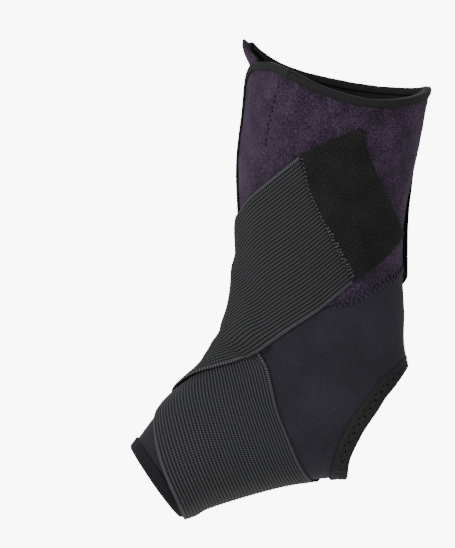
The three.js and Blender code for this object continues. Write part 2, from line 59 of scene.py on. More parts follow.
edges = {
    # around, along of the cuff's upper rim
    "rim": [
        (5.5, 0.065), (7, 0.056), (9.5, 0.049), (13, 0.043), (17, 0.039), (24, 0.0355), (33, 0.035),
        (44, 0.035), (52, 0.038), (60, 0.0425), (68, 0.0475), (76, 0.054), (86, 0.061), (95, 0.067),
        (107, 0.071), (115, 0.0715), (123, 0.071), (131, 0.07), (139, 0.0685), (147, 0.066),
        (155, 0.063), (163, 0.0595), (171, 0.0555),
        (180, 0.054), (189, 0.054), (198, 0.0545), (207, 0.055), (216, 0.055), (225, 0.055), (234, 0.0545),
        (243, 0.054), (252, 0.052), (261, 0.05), (270, 0.047), (279, 0.044), (288, 0.041), (297, 0.037),
        (306, 0.033), (315, 0.0285), (324, 0.024), (333, 0.0195), (342, 0.0135), (352, 0.0105), (360, 0.0095),
        (369, 0.0115), (378, 0.0165), (387, 0.025), (396, 0.04),
    ],
    # around, along of the seam between cuff and sleeve
    "seam": [
        (5.5, 0.4), (60, 0.378), (103, 0.345), (113, 0.333), (135, 0.309), (173, 0.286), (187, 0.286),
        (225, 0.309), (247, 0.333), (300, 0.378), (356, 0.4), (396, 0.4),
    ],
    "heelTop": 0.452, "heelBottom": 0.758, "heelSpread": 64.5, "heelFineness": 0.12,
    "flapTapeEnd": 60, "rimTapeEnd": 342,
    "panelFoldStart": 325, "panelEndTop": 12, "panelEndBelow": 36, "panelEndSlope": 0.25,
    "lipFlare": 2.6, "lipTop": 0.014, "lipClear": 0.018,
}
heelMiddle = (edges["heelTop"] + edges["heelBottom"]) / 2
heelHalf = (edges["heelBottom"] - edges["heelTop"]) / 2
# Thicknesses, gaps and widths in millimetres; crossStart is a share of the lower strap's length
layers = {
    "neoprene": 2.5, "elastic": 1.2, "tab": 1.1, "hook": 1.2, "tape": 0.7,
    "gap": 0.4, "strapGap": 0.5, "crossGap": 1.2, "heelTapeGap": 0.55, "butt": 0.3,
    "strapWidth": 77, "cuffLeg": 3.6, "heelLeg": 8.6, "toeLeg": 6, "tabLap": 3, "crossStart": 0.25, "ramp": 9,
}
# upAlong, upAround, lowAlong, lowAround of lines across each strap and tab
overStrapLines = np.array([
    (0.812, -180, 0.985, -180), (0.79, -130, 0.975, -115), (0.72, -97, 0.957, -80), (0.622, -79, 0.907, -45),
    (0.492, -65, 0.866, -17), (0.387, -52, 0.81, 5), (0.311, -35, 0.733, 31), (0.25, -15, 0.59, 45),
    (0.214, 0, 0.47, 65), (0.188, 24, 0.405, 81), (0.171, 46, 0.366, 91), (0.152, 62, 0.332, 99.5),
    (0.139, 74, 0.3, 112),
])
# the fifth number swings the middle of a tab's line, in degrees
overTabLines = np.array([(0.139, 74, 0.3, 112, 0), (0.13, 84, 0.279, 130, 3), (0.105, 106, 0.2425, 163.5, 7)])
underStrapLines = np.array([
    (0.812, 180, 0.998, 180), (0.81, 158, 0.997, 140), (0.8, 128, 0.992, 92), (0.775, 107, 0.979, 56),
    (0.704, 80, 0.957, 8), (0.614, 60, 0.925, -22), (0.48, 45, 0.88, -38), (0.389, 24, 0.8, -50),
    (0.325, -2, 0.69, -60), (0.262, -24, 0.54, -72), (0.214, -45, 0.44, -88), (0.178, -73, 0.38, -110),
    (0.145, -108, 0.335, -138),
])
underTabLines = np.array([
    (0.145, -108, 0.335, -138, 0), (0.138, -118, 0.33, -152, 0), (0.122, -157, 0.292, -185, 0),
])
# shares of strapWidth each tab reaches up and down, at the strap and at its own end
overTabReach = {"up": 0.515, "down": 0.5, "endUp": 0.495, "endDown": 0.455}
underTabReach = {"up": 0.55, "down": 0.5, "endUp": 0.55, "endDown": 0.5}


def smoothstep(x, low, high):
    t = np.clip((np.asarray(x, float) - low) / (np.asarray(high, float) - low), 0, 1)
    return t * t * (3 - 2 * t)


def mix(a, b, share):
    return a + (b - a) * share


def rowAt(rows, share):  # the row before a share of the table, how far past it, and the last row
    last = len(rows) - 1
    x = np.asarray(share, float) * last
    i = np.clip(np.floor(x).astype(int), 0, last - 1)
    return i, (x - i)[..., None], last


def tableCurve(rows, share):  # smooth through the rows, straight past both ends
    i, f, last = rowAt(rows, share)
    b, c = rows[i], rows[i + 1]
    a = np.where((i > 0)[..., None], rows[np.maximum(i - 1, 0)], 2 * b - c)
    d = np.where((i < last - 1)[..., None], rows[np.minimum(i + 2, last)], 2 * c - b)
    return b + 0.5 * f * (c - a + f * (2 * a - 5 * b + 4 * c - d + f * (3 * (b - c) + d - a)))


def tableLine(rows, share):  # straight from row to row
    i, f, _ = rowAt(rows, share)
    return mix(rows[i], rows[i + 1], f)


def alongAt(rows, around):
    table = np.array(rows, float)
    return np.interp(around, table[:, 0], table[:, 1])


raw = np.array(form["sections"], float)
sections = np.column_stack([
    -raw[:, 0] * form["footReach"],
    raw[:, 1] * np.where(raw[:, 1] > 0, form["legRise"], form["footDrop"]),
    np.radians(raw[:, 2]),
    raw[:, 3] * form["legDepth"] / 2,
    raw[:, 4] * form["legWidth"] / 2,
    raw[:, 5],
    raw[:, 6] * form["legWidth"] / 2,
])


def formPoint(along, around):
    along, around = np.broadcast_arrays(np.asarray(along, float), np.asarray(around, float))
    s = tableCurve(sections, along)
    x, z, tilt, halfDepth, halfWidth, egg, lean = [s[..., k] for k in range(7)]
    c, n = np.cos(np.radians(around)), np.sin(np.radians(around))
    power = 2 / form["squareness"]
    front, inner = np.sign(c) * np.abs(c) ** power, np.sign(n) * np.abs(n) ** power
    reach = halfDepth * front
    return np.stack([
        x - np.cos(tilt) * reach,
        -halfWidth * (1 - egg * front) * inner - lean * (1 + front),
        z + np.sin(tilt) * reach,
    ], -1)


def eased(around, power):  # the angle seen from the middle of a section, or with the inverse power back again
    c, n = np.cos(np.radians(around)), np.sin(np.radians(around))
    seen = np.arctan2(np.sign(n) * np.abs(n) ** power, np.sign(c) * np.abs(c) ** power)
    return around + np.degrees((seen - np.radians(around) + np.pi) % (2 * np.pi) - np.pi)


def slopes(along, around, step=0.001):
    turn = math.degrees(step)
    down = (formPoint(along + step, around) - formPoint(along - step, around)) / (2 * step)
    side = (formPoint(along, around + turn) - formPoint(along, around - turn)) / (2 * turn)
    return down, side


def place(along, around, height):  # stands height above the outer face of the sleeve
    down, side = slopes(along, around)
    normal = np.cross(down, side)
    normal /= np.linalg.norm(normal, axis=-1, keepdims=True)
    return formPoint(along, around) + normal * np.asarray(height, float)[..., None]


def shifted(along, around, vector):  # moves a place by a vector on the form
    down, side = slopes(along, around)
    dd, ds, ss = (down * down).sum(-1), (down * side).sum(-1), (side * side).sum(-1)
    vd, vs = (vector * down).sum(-1), (vector * side).sum(-1)
    spread = dd * ss - ds * ds
    return along + (vd * ss - vs * ds) / spread, around + (vs * dd - vd * ds) / spread


def movedDown(along, around, by):
    return along + by / np.linalg.norm(slopes(along, around)[0], axis=-1)


# Materials

def srgb(text):
    rgb = [int(text[i:i + 2], 16) / 255 for i in (1, 3, 5)]
    return [c / 12.92 if c <= 0.04045 else ((c + 0.055) / 1.055) ** 2.4 for c in rgb] + [1]


def addNode(tree, kind, settings=None, links=None):
    node = tree.nodes.new(kind)
    for key, value in (settings or {}).items():
        if isinstance(key, int) or key in node.inputs:
            node.inputs[key].default_value = value
        else:
            setattr(node, key, value)
    for key, source in (links or {}).items():
        tree.links.new(source, node.inputs[key])
    return node


def newMaterial(name, roughness, sheen=0.0, sheenTint="#ffffff"):
    material = bpy.data.materials.new(name)
    material.use_nodes = True
    tree = material.node_tree
    tree.nodes.clear()
    shader = addNode(tree, "ShaderNodeBsdfPrincipled", {
        "Roughness": roughness, "Metallic": 0, "IOR": 1.5, "Specular IOR Level": 0.12,
        "Sheen Weight": sheen, "Sheen Roughness": 0.5, "Sheen Tint": srgb(sheenTint),
    })
    out = addNode(tree, "ShaderNodeOutputMaterial")
    tree.links.new(shader.outputs[0], out.inputs[0])
    return material, tree, shader


def colorRamp(tree, source, stops):
    ramp = addNode(tree, "ShaderNodeValToRGB", links={0: source})
    while len(ramp.color_ramp.elements) < len(stops):
        ramp.color_ramp.elements.new(0.5)
    for element, (at, color) in zip(ramp.color_ramp.elements, stops):
        element.position = at
        element.color = srgb(color)
    return ramp.outputs[0]


def maths(tree, operation, a, b=0.0):
    node = addNode(tree, "ShaderNodeMath", {"operation": operation})
    for i, value in enumerate((a, b)):
        if isinstance(value, (int, float)):
            node.inputs[i].default_value = value
        else:
            tree.links.new(value, node.inputs[i])
    return node.outputs[0]


def mixColor(tree, share, a, b):
    node = addNode(tree, "ShaderNodeMix", {"data_type": "RGBA"})
    for i, value in ((0, share), (6, a), (7, b)):
        if isinstance(value, (int, float, list)):
            node.inputs[i].default_value = value
        else:
            tree.links.new(value, node.inputs[i])
    return node.outputs[2]


def noiseOf(tree, spot, size, detail, roughness=0.5):  # size in the unit of the spot
    settings = {"Scale": 1 / size, "Detail": detail, "Roughness": roughness}
    return addNode(tree, "ShaderNodeTexNoise", settings, {0: spot}).outputs[0]


def waveOf(tree, distance, pitch):
    return maths(tree, "COSINE", maths(tree, "MULTIPLY", distance, 2 * math.pi / pitch))


def weighed(tree, a, shareOfA, b, shareOfB):
    return maths(tree, "ADD", maths(tree, "MULTIPLY", a, shareOfA), maths(tree, "MULTIPLY", b, shareOfB))


def addRelief(tree, shader, height, strength, depth):  # depth in millimetres
    bump = addNode(tree, "ShaderNodeBump", {"Strength": strength, "Distance": depth * mm}, {"Height": height})
    tree.links.new(bump.outputs[0], shader.inputs["Normal"])


# In each of these, colours are light and dark, and sizes of the pattern are in millimetres
jersey = {
    "face": ("#27262e", "#1b1a20"), "lining": ("#1c1b1f", "#121114"),
    "grain": 0.8, "blotch": 24, "grainShare": 0.55, "relief": 0.15,
}


def jerseyMaterial(name, light, dark):  # nylon knit on neoprene: matte, near black, with a fine grain
    material, tree, shader = newMaterial(name, 0.75, sheen=0.08, sheenTint="#8f8ba0")
    spot = addNode(tree, "ShaderNodeTexCoord").outputs["Object"]
    grain = noiseOf(tree, spot, jersey["grain"] * mm, 2.0)
    blotch = noiseOf(tree, spot, jersey["blotch"] * mm, 3.0)
    share = weighed(tree, grain, jersey["grainShare"], blotch, 1 - jersey["grainShare"])
    tree.links.new(colorRamp(tree, share, [(0.36, dark), (0.62, light)]), shader.inputs["Base Color"])
    addRelief(tree, shader, grain, 0.35, jersey["relief"])
    return material


# Painted highlight: between two places along X in metres, the front of the shin is painted lighter, broken up
# by the nap patches
pile = {
    "tuft": 1.0, "nap": 15, "tuftShare": 0.68, "relief": 0.6,
    "dark": "#171219", "middle": "#2b212e", "light": "#44344b",
    "shin": "#49394c", "shinFrom": -0.012, "shinTo": -0.05, "shinShare": 0.32, "brushing": 1.8,
}


def pileMaterial():  # unbroken nylon loop pile: fuzzy tufts with dark gaps, in patches of nap, and a painted highlight on the front of the shin
    material, tree, shader = newMaterial("nylon loop pile", 0.9, sheen=0.16, sheenTint="#8d7b98")
    spot = addNode(tree, "ShaderNodeTexCoord").outputs["Object"]
    tuft = noiseOf(tree, spot, pile["tuft"] * mm, 3.0, 0.65)
    patch = noiseOf(tree, spot, pile["nap"] * mm, 3.0, 0.6)
    share = weighed(tree, tuft, pile["tuftShare"], patch, 1 - pile["tuftShare"])
    color = colorRamp(tree, share, [(0.38, pile["dark"]), (0.5, pile["middle"]), (0.64, pile["light"])])
    front = addNode(tree, "ShaderNodeMapRange", {
        "From Min": pile["shinFrom"], "From Max": pile["shinTo"], "To Min": 0.0, "To Max": pile["shinShare"],
    }, {"Value": addNode(tree, "ShaderNodeSeparateXYZ", links={0: spot}).outputs[0]})
    # painted highlight, not brushed nap: lighter toward the front of the shin, where the key light falls, in
    # patches of nap
    brushed = maths(tree, "MULTIPLY", front.outputs[0], maths(tree, "MULTIPLY", patch, pile["brushing"]))
    tree.links.new(mixColor(tree, brushed, color, srgb(pile["shin"])), shader.inputs["Base Color"])
    addRelief(tree, shader, tuft, 0.7, pile["relief"])
    return material


halfStrap = layers["strapWidth"] / 2
# pitch and edgeCross are the steps of ribs and of the bound edge; worn is the light tip of the threads
rib = {
    "under": ("#3d3e41", "#121213"), "over": ("#393a3c", "#111112"), "worn": "#4d4e51",
    "pitch": 1.95, "cross": 1.3, "selvedge": 1.3, "edgeCross": 1.2, "wobble": 2.86, "fibre": 0.455,
    "height": 0.2, "relief": 0.3,
}


def elasticMaterial(name, light, dark):  # woven elastic: ribs with short cross threads in the grooves
    material, tree, shader = newMaterial(name, 0.75, sheen=0.05, sheenTint="#9aa0a0")
    uv = addNode(tree, "ShaderNodeUVMap", {"uv_map": "cloth"}).outputs[0]
    parts = addNode(tree, "ShaderNodeSeparateXYZ", links={0: uv})
    wobble = noiseOf(tree, uv, rib["wobble"], 2.0)
    length = maths(tree, "ADD", parts.outputs[0], maths(tree, "MULTIPLY", wobble, 0.5))
    ribs = maths(tree, "MULTIPLY", waveOf(tree, parts.outputs[1], rib["pitch"]), 0.5)
    weft = waveOf(tree, length, rib["cross"])
    height = maths(tree, "ADD", ribs, weighed(tree, weft, 0.34, noiseOf(tree, uv, rib["fibre"], 3.0), 0.5))
    share = maths(tree, "ADD", maths(tree, "MULTIPLY", height, 0.4), 0.38)
    woven = colorRamp(tree, share, [(0.36, dark), (0.7, light), (0.92, rib["worn"])])
    fromMiddle = maths(tree, "ABSOLUTE", parts.outputs[1])
    isEdge = maths(tree, "GREATER_THAN", fromMiddle, halfStrap - rib["selvedge"])
    turns = maths(tree, "MULTIPLY", waveOf(tree, length, rib["edgeCross"]), 0.3)
    bound = colorRamp(tree, maths(tree, "ADD", turns, 0.5), [(0.25, dark), (0.7, rib["worn"])])
    tree.links.new(mixColor(tree, isEdge, woven, bound), shader.inputs["Base Color"])
    addRelief(tree, shader, height, 0.6, rib["relief"])
    return material


# light, dark, step of the ribs, step of the weft
weave = {
    # painted light and shade: the flap and the rim carry one tape, painted lighter on the flap at the front,
    # where the key light falls, and darker on the rim
    "flap": ("#2d2d30", "#18181a", 1.1, 0.9), "rim": ("#272729", "#131315", 1.1, 0.9),
    "heel": ("#2b2b2c", "#101011", 1.3, 1.1), "toe": ("#242026", "#0d0b0e", 1.4, 1.6),
    "fibre": 0.625, "relief": 0.2,
}
# a row holds its place from the free edge of the tape, its shift along it in steps, and the holes' radius
heelHoles = {"pitch": 5.4, "color": "#060607", "rows": [(3.2, 0.0, 0.55), (5.0, 0.5, 0.75)]}


def needleHole(tree, parts, pitch, across, shift, radius):  # 1 inside a row of holes along a tape
    turn = maths(tree, "FRACT", maths(tree, "ADD", maths(tree, "DIVIDE", parts.outputs[0], pitch), shift))
    x = maths(tree, "MULTIPLY", maths(tree, "SUBTRACT", turn, 0.5), pitch)
    y = maths(tree, "SUBTRACT", parts.outputs[1], across)
    squared = maths(tree, "ADD", maths(tree, "MULTIPLY", x, x), maths(tree, "MULTIPLY", y, y))
    return maths(tree, "LESS_THAN", maths(tree, "SQRT", squared), radius)


def tapeMaterial(name, light, dark, pitch, cross, holes=None):  # woven tape: matte, with fine ribs along it
    material, tree, shader = newMaterial(name, 0.85, sheen=0.05, sheenTint="#9a9a9e")
    uv = addNode(tree, "ShaderNodeUVMap", {"uv_map": "cloth"}).outputs[0]
    parts = addNode(tree, "ShaderNodeSeparateXYZ", links={0: uv})
    ribs, weft = waveOf(tree, parts.outputs[1], pitch), waveOf(tree, parts.outputs[0], cross)
    height = maths(tree, "ADD", weighed(tree, ribs, 0.3, weft, 0.2), noiseOf(tree, uv, weave["fibre"], 3.0))
    share = maths(tree, "ADD", maths(tree, "MULTIPLY", height, 0.4), 0.3)
    color = colorRamp(tree, share, [(0.2, dark), (0.8, light)])
    for across, shift, radius in holes["rows"] if holes else []:  # each hole is a dark pit
        inside = needleHole(tree, parts, holes["pitch"], across, shift, radius)
        color = mixColor(tree, inside, color, srgb(holes["color"]))
    tree.links.new(color, shader.inputs["Base Color"])
    addRelief(tree, shader, height, 0.5, weave["relief"])
    return material


nap = {
    "tab": ("#222223", "#080808"), "hook": ("#131313", "#080808"),
    "fibre": 0.91, "blotch": 16.7, "fibreShare": 0.8, "relief": 0.2,
}


def napMaterial(name, light, dark):  # brushed black tab cloth: short flat fibres, soft sheen
    material, tree, shader = newMaterial(name, 0.9, sheen=0.05, sheenTint="#8d9090")
    uv = addNode(tree, "ShaderNodeUVMap", {"uv_map": "cloth"}).outputs[0]
    fibre = noiseOf(tree, uv, nap["fibre"], 4.0, 0.7)
    blotch = noiseOf(tree, uv, nap["blotch"], 2.0)
    share = weighed(tree, fibre, nap["fibreShare"], blotch, 1 - nap["fibreShare"])
    tree.links.new(colorRamp(tree, share, [(0.4, dark), (0.6, light)]), shader.inputs["Base Color"])
    addRelief(tree, shader, fibre, 0.5, nap["relief"])
    return material


thread = {
    # the near-black third pair is painted shade, laid as thread in the flap's dimples
    "black": ("#232325", "#101012"), "seam": ("#30283a", "#120e15"), "dimpleShade": ("#141015", "#08060a"),
    "pale": ("#605e66", "#38363c"), "twist": 1.11,
}


def threadMaterial(name, light, dark):  # twisted polyester thread, a little glossier than the cloth
    material, tree, shader = newMaterial(name, 0.6, sheen=0.1)
    spot = addNode(tree, "ShaderNodeTexCoord").outputs["Object"]
    twist = noiseOf(tree, spot, thread["twist"] * mm, 2.0)
    tree.links.new(colorRamp(tree, twist, [(0.35, dark), (0.65, light)]), shader.inputs["Base Color"])
    return material


sleeveCloth = jerseyMaterial("jersey faced neoprene", *jersey["face"])
liningCloth = jerseyMaterial("nylon lining", *jersey["lining"])
pileCloth = pileMaterial()
elasticUnder = elasticMaterial("woven elastic lower", *rib["under"])
elasticOver = elasticMaterial("woven elastic upper", *rib["over"])
# one tape in two colours: painted light on the flap, painted shade on the rim
edgeTape = tapeMaterial("woven polyester tape", *weave["flap"])
rimTape = tapeMaterial("woven polyester tape rim", *weave["rim"])
heelTape = tapeMaterial("heel elastic tape", *weave["heel"], heelHoles)
toeTape = tapeMaterial("gathered hem tape", *weave["toe"])
tabCloth = napMaterial("brushed tab cloth", *nap["tab"])
hookTape = napMaterial("hook tape", *nap["hook"])
blackThread = threadMaterial("black polyester thread", *thread["black"])
seamThread = threadMaterial("textured nylon thread", *thread["seam"])
# painted shade for the flap's dimples, drawn as near-black thread
dimpleShadeThread = threadMaterial("dark tack thread", *thread["dimpleShade"])
paleThread = threadMaterial("worn pale thread", *thread["pale"])
print("materials made")

# Cloth is cut flat or as a tube, given its thickness, and then bent onto the form

def flatCloth(length, width, cell, wall):
    bm = bmesh.new()
    bmesh.ops.create_grid(bm, x_segments=round(length / cell[0]), y_segments=round(width / cell[1]), size=0.5)
    bmesh.ops.scale(bm, vec=(length, width, 1), verts=bm.verts)
    bmesh.ops.solidify(bm, geom=bm.faces[:], thickness=wall)
    low = min(v.co.z for v in bm.verts)
    if low > -wall / 2:
        bmesh.ops.translate(bm, vec=(0, 0, -wall), verts=bm.verts)
    return bm


def bentMesh(name, bm, unrolled, where):  # keeps the flat form as its UV, in millimetres
    mesh = bpy.data.meshes.new(name)
    bm.to_mesh(mesh)
    bm.free()
    flat = np.array([v.co[:] for v in mesh.vertices])
    corner = np.empty(len(mesh.loops), np.int32)
    mesh.loops.foreach_get("vertex_index", corner)
    uv = mesh.uv_layers.new(name="cloth")
    uv.data.foreach_set("uv", unrolled(flat)[corner].astype(np.float32).ravel())
    placed = where(*flat.T) * mm
    mesh.vertices.foreach_set("co", placed.astype(np.float32).ravel())
    return mesh, flat


def asCut(flat):
    return flat[:, :2]


def bendOnto(name, bm, where, material, node, isInner=None):
    mesh, flat = bentMesh(name, bm, asCut, where)
    mesh.materials.append(material)
    if isInner:
        inner = isInner(flat)
        mesh.materials.append(liningCloth)
        picked = [int(all(inner[v] for v in face.vertices)) for face in mesh.polygons]
        mesh.polygons.foreach_set("material_index", picked)
    return finishPiece(name, mesh, node)


def welded(mesh):
    bm = bmesh.new()
    bm.from_mesh(mesh)
    bmesh.ops.remove_doubles(bm, verts=bm.verts, dist=weld)
    return bm


def closeEnds(mesh):
    bm = welded(mesh)
    bmesh.ops.holes_fill(bm, edges=[e for e in bm.edges if e.is_boundary], sides=0)
    bm.to_mesh(mesh)
    bm.free()


def finishPiece(name, mesh, node):
    bm = welded(mesh)
    if bm.calc_volume(signed=True) < 0:
        bmesh.ops.reverse_faces(bm, faces=bm.faces)
    for face in bm.faces:
        face.smooth = True
    bm.to_mesh(mesh)
    bm.free()
    mesh.update()
    piece = bpy.data.objects.new(name, mesh)
    bpy.context.scene.collection.objects.link(piece)
    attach(piece, "root")
    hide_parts(node)
    print("made", name, len(mesh.polygons), "faces")
    return piece


def softNoise(points, size, seed):  # smooth noise of about -1 to 1 over places in millimetres
    shift = Vector((seed * 17.3, seed * 5.1, seed * 9.7))
    return np.array([noise.noise(Vector(p) / size + shift) for p in points])


def edgeDrop(distance, radius):  # how far a rounded edge lies below the face
    t = np.clip(1 - distance / radius, 0, 1)
    return radius * (1 - np.sqrt(np.clip(1 - t * t, 0, 1)))


# Runs of fabric along a table of lines

class Run:
    def __init__(self, lines, curve, steps=60, ease=0):
        self.lines, self.curve, self.steps = lines.copy(), curve, steps
        self.lines[:, [1, 3]] = eased(lines[:, [1, 3]], 2 / form["squareness"])
        if ease:  # irons small waves out of a strap's lines
            rows = curve(self.lines, np.linspace(0, 1, steps + 1))
            for _ in range(ease):
                rows[1:-1] = (rows[:-2] + 2 * rows[1:-1] + rows[2:]) / 4
            self.lines, self.curve = rows, tableLine
        middle = self.middle(np.linspace(0, 1, steps + 1))
        self.lengths = np.concatenate([[0], np.cumsum(np.linalg.norm(np.diff(middle, axis=0), axis=1))])
        self.length = self.lengths[-1]

    def middle(self, share):
        line = self.curve(self.lines, share)
        middle = eased((line[..., 1] + line[..., 3]) / 2, form["squareness"] / 2)
        return formPoint((line[..., 0] + line[..., 2]) / 2, middle)

    def shareAt(self, length):
        i = np.clip(np.searchsorted(self.lengths, length, side="right") - 1, 0, self.steps - 1)
        return (i + (length - self.lengths[i]) / (self.lengths[i + 1] - self.lengths[i])) / self.steps

    def across(self, length, offset, samples=24):  # length along the run and offset down from its middle
        line = self.curve(self.lines, self.shareAt(length))
        t = np.arange(-samples // 2, samples + samples // 2 + 1) / samples
        along = mix(line[:, 0:1], line[:, 2:3], t)
        swing = line[:, 4] if line.shape[1] > 4 else np.zeros(len(line))
        around = mix(line[:, 1:2], line[:, 3:4], t) - 4 * swing[:, None] * t * (1 - t)
        points = formPoint(along, eased(around, form["squareness"] / 2))
        steps = np.linalg.norm(np.diff(points, axis=1), axis=2)
        walked = np.concatenate([np.zeros((len(length), 1)), np.cumsum(steps, axis=1)], axis=1)
        half = samples // 2
        want = (walked[:, half] + walked[:, half + samples]) / 2 + offset
        i = np.clip((walked <= want[:, None]).sum(1) - 1, 0, walked.shape[1] - 2)
        rows = np.arange(len(length))
        f = (want - walked[rows, i]) / (walked[rows, i + 1] - walked[rows, i])
        share = (i + f - half) / samples
        turned = mix(line[:, 1], line[:, 3], share) - 4 * swing * share * (1 - share)
        return mix(line[:, 0], line[:, 2], share), eased(turned, form["squareness"] / 2)


overStrapRun = Run(overStrapLines, tableCurve, ease=24)
underStrapRun = Run(underStrapLines, tableCurve, ease=24)
overTabRun = Run(overTabLines, tableLine)
underTabRun = Run(underTabLines, tableLine)


def gridOf(x, y):
    a, b = np.meshgrid(x, y, indexing="ij")
    return a.ravel(), b.ravel()


def coveredBy(samples, points, reach, ramp):  # 1 within reach of the samples, 0 past the ramp
    nearest = []
    for part in np.array_split(points, 1 + len(points) // 4000):  # in parts, to spare memory
        nearest.append(((part[:, None, :] - samples[None, :, :]) ** 2).sum(2).min(1))
    nearest = np.sqrt(np.concatenate(nearest))
    return 1 - smoothstep(nearest, reach, reach + ramp)


# Edges: each gives along and around of its places, and its length in millimetres

def facingIn(along, around, closed):  # the direction from an edge into the fabric
    spots = formPoint(along, around)
    if closed:
        run = np.roll(spots, -1, 0) - np.roll(spots, 1, 0)
    else:
        run = np.gradient(spots, axis=0)
    down, side = slopes(along, around)
    inward = np.cross(run, np.cross(down, side))
    return inward / np.linalg.norm(inward, axis=-1, keepdims=True)


def cuffPlace(column, share):  # column is the angle at the rim, share runs from the rim to the seam
    past = column - 360
    end = mix(edges["panelEndTop"], edges["panelEndBelow"], smoothstep(share, 0, edges["panelEndSlope"]))
    around = np.where(past > 0, 360 + past * end / edges["panelEndBelow"], column)
    seam = alongAt(edges["seam"], around)
    bottom = movedDown(seam, around, -layers["butt"] / 2)
    return mix(alongAt(edges["rim"], column), bottom, share), around


flapStack = layers["neoprene"] + 2 * layers["gap"] + layers["tape"]


def panelDepth(along, around):  # the panel sinks under the flap, and its lip flares above it
    fold = smoothstep(around, edges["panelFoldStart"], 360)
    foot = alongAt(edges["rim"], np.maximum(np.asarray(around) - 360, edges["rim"][0][0])) - edges["lipClear"]
    return fold * mix(edges["lipFlare"], -flapStack, smoothstep(along, edges["lipTop"], foot))


def evenly(along, around, step, closed=False):  # the same edge with its places step millimetres apart
    if closed:
        along, around = np.append(along, along[0]), np.append(around, around[0])
    spots = formPoint(along, around)
    walked = np.concatenate([[0], np.cumsum(np.linalg.norm(np.diff(spots, axis=0), axis=1))])
    count = max(8, round(walked[-1] / step))
    at = np.linspace(0, walked[-1], count + 1)
    return np.interp(at, walked, along), np.interp(at, walked, around), walked[-1]


def heelEdge(step):
    share = -np.arange(0, 1, 1 / 400)
    turn = 2 * np.pi * share - edges["heelFineness"] * np.sin(4 * np.pi * share)
    along, around = heelMiddle - heelHalf * np.cos(turn), 180 + edges["heelSpread"] * np.sin(turn)
    return evenly(along, around, step, closed=True)


def toeEdge(step):
    around = -np.arange(0, 360, 1.0)  # this way round, the fabric is on the same hand as elsewhere
    along = movedDown(np.ones(len(around)), around, -layers["tape"] - layers["gap"])
    return evenly(along, around, step, closed=True)


def flapEdge(step):
    share = np.linspace(1, 0, 60)[:-1]
    first = edges["rim"][0][0]
    along, around = cuffPlace(np.full(len(share), first), share)
    corner = np.linspace(first, edges["flapTapeEnd"], 80)
    return evenly(np.append(along, alongAt(edges["rim"], corner)), np.append(around, corner), step)


def rimEdge(step):
    around = np.linspace(edges["flapTapeEnd"] + 0.4, edges["rimTapeEnd"], 300)
    return evenly(alongAt(edges["rim"], around), around, step)


def inwardAt(edge, closed=False):  # the direction into the fabric at each place of an edge
    along, around, _ = edge
    if not closed:
        return facingIn(along, around, False)
    inward = facingIn(along[:-1], around[:-1], True)
    return np.vstack([inward, inward[:1]])


def tapeProfile(leg, gap):  # into the fabric and height of a folded tape, as one closed loop
    wall, tape = layers["neoprene"], layers["tape"]
    lap, under, middle = gap + tape, -wall - gap, -wall / 2

    def turnRound(reach, degrees):
        return [(-reach * math.cos(a), middle + (reach - middle) * math.sin(a)) for a in np.radians(degrees)]

    top = [(x, lap) for x in np.linspace(leg - 0.3, 0.4, max(3, round(leg / 0.45)))]
    bottom = [(x, under - tape) for x in (0.4, leg / 2, leg - 0.3)]
    inside = [(leg, under), (0.2, under)]
    outside = [(0.2, gap), (leg - 0.05, gap)]
    loop = [(leg, (gap + lap) / 2)] + top + turnRound(lap, [50, 25, 0, -25, -50]) + bottom
    loop += [(leg, under - tape / 2)] + inside + turnRound(gap, [-45, 0, 45]) + outside
    return np.array(loop + loop[:1])


def binding(name, edge, leg, gap, closed, heightAt, material, waves, node):
    along, around, total = edge
    inward = inwardAt(edge, closed)
    profile = tapeProfile(leg, gap)
    steps, sides = len(along) - 1, len(profile) - 1
    travelled = np.concatenate([[0], np.cumsum(np.linalg.norm(np.diff(profile, axis=0), axis=1))])
    bm = bmesh.new()
    bmesh.ops.create_grid(bm, x_segments=steps, y_segments=sides, size=0.5)
    bmesh.ops.translate(bm, vec=(0.5, 0.5, 0), verts=bm.verts)

    def where(x, y, _):
        i = np.rint(x * steps).astype(int)
        k = np.rint(y * sides).astype(int)
        into, height = profile[k, 0], profile[k, 1]
        lift, pull = waves(i / steps * total, into, height)
        a, b = shifted(along[i], around[i], inward[i] * (into + pull)[:, None])
        return place(a, b, height + lift + heightAt(a, b))

    def unrolled(flat):
        return np.column_stack([flat[:, 0] * total, travelled[np.rint(flat[:, 1] * sides).astype(int)]])

    mesh, _ = bentMesh(name, bm, unrolled, where)
    mesh.materials.append(material)
    if not closed:
        closeEnds(mesh)
    finishPiece(name, mesh, node)


# Sleeve: a tube with a heel hole
sleeve = {
    "aroundCell": 1.35, "alongCell": 1.3, "turn": 320, "height": 205, "start": 5.5, "flat": (270, 205),
    "crowding": 0.4, "nearHole": 1.3,
    # along, around at both ends, half width and height in millimetres
    "folds": [
        ((0.345, 100), (0.5, 82), 5, 0.7), ((0.36, 118), (0.47, 112), 7, -0.5),
        ((0.47, 130), (0.62, 118), 6, 0.4), ((0.36, -100), (0.5, -84), 6, 0.6),
        ((0.4, 150), (0.43, 130), 5, 0.4),
    ],
}


def foldLift(points):
    lift = np.zeros(len(points))
    for start, end, width, height in sleeve["folds"]:
        a, b = formPoint(*start), formPoint(*end)
        run = b - a
        t = np.clip(((points - a) @ run) / (run @ run), 0, 1)
        gap = np.linalg.norm(points - a - t[:, None] * run, axis=1)
        ends = smoothstep(t, 0, 0.25) * (1 - smoothstep(t, 0.75, 1))
        lift += height * ends * np.exp(-(gap / width) ** 2)
    return lift


def sleeveSpot(x, y):  # along and around of a place on the square grid
    around = sleeve["start"] + 360 * (x + 0.5)
    share = y + 0.5 + sleeve["crowding"] * np.sin(2 * np.pi * (y + 0.5)) / (2 * np.pi)
    wrapped = np.where(around > sleeve["start"] + 360, around - 360, around)
    top = movedDown(alongAt(edges["seam"], wrapped), around, layers["butt"] / 2)
    toe = movedDown(np.ones_like(around), around, -layers["tape"] - layers["gap"])
    return mix(top, toe, share), around


